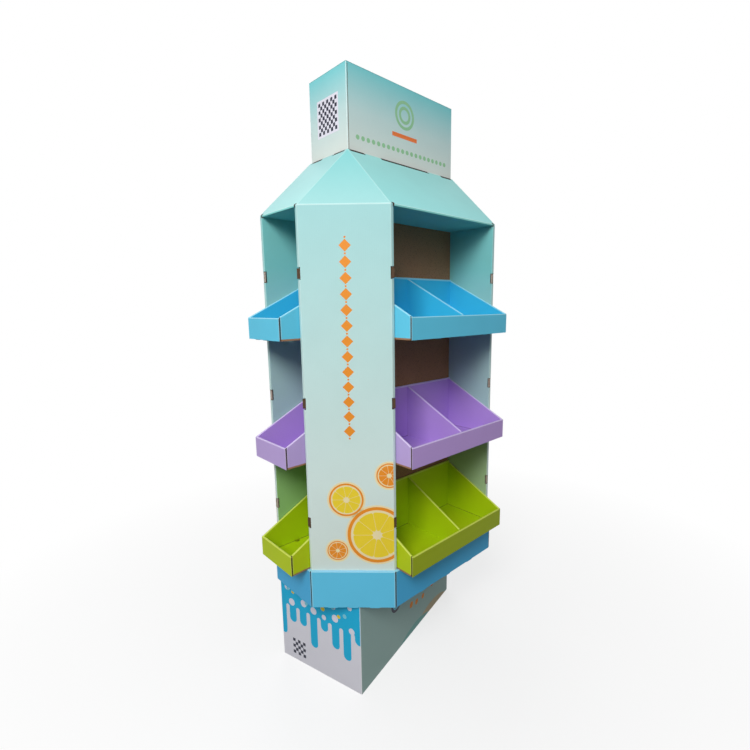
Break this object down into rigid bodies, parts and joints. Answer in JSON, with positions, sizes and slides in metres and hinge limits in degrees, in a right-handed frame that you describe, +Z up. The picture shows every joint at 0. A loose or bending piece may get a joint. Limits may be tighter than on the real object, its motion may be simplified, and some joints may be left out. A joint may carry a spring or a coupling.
{
  "type": "cardboard floor display stand",
  "caption": "Four-sided floor display of folded corrugated board, with open bays of sloping trays between corner columns, a hipped roof, a box header and a low pedestal.",
  "frame": {"origin": "on the floor, under the middle of the display's body, which is the bottom centre of the whole box", "axes": "+Z up; the long bays face -Y and +Y and the short bays face -X and +X"},
  "size_m": [0.865, 0.611, 1.7],
  "materials": {
    "teal_print": "matt, water-based print on corrugated board",
    "kraft_board": "matt, unprinted brown board",
    "blue_print": "matt, water-based print on corrugated board",
    "purple_print": "matt, water-based print on corrugated board",
    "green_print": "matt, water-based print on corrugated board",
    "white_print": "matt, water-based print on corrugated board"
  },
  "bodies": {
    "root": {"header": "teal_print", "roof": "teal_print", "core": "kraft_board", "base_tray": "blue_print", "pedestal": "white_print", "pedestal_rib_long": "kraft_board", "pedestal_rib_left": "kraft_board", "pedestal_rib_right": "kraft_board", "column_front_left": "teal_print", "column_front_right": "teal_print", "column_back_left": "teal_print", "column_back_right": "teal_print", "column_liner_front_left": "kraft_board", "column_liner_front_right": "kraft_board", "column_liner_back_left": "kraft_board", "column_liner_back_right": "kraft_board", "tray_front_top": "blue_print", "tray_back_top": "blue_print", "tray_left_top": "blue_print", "tray_right_top": "blue_print", "divider_front_top": "blue_print", "divider_back_top": "blue_print", "tray_front_middle": "purple_print", "tray_back_middle": "purple_print", "tray_left_middle": "purple_print", "tray_right_middle": "purple_print", "divider_front_middle": "purple_print", "divider_back_middle": "purple_print", "tray_front_bottom": "green_print", "tray_back_bottom": "green_print", "tray_left_bottom": "green_print", "tray_right_bottom": "green_print", "divider_front_bottom": "green_print", "divider_back_bottom": "green_print"}
  },
  "joints": []
}
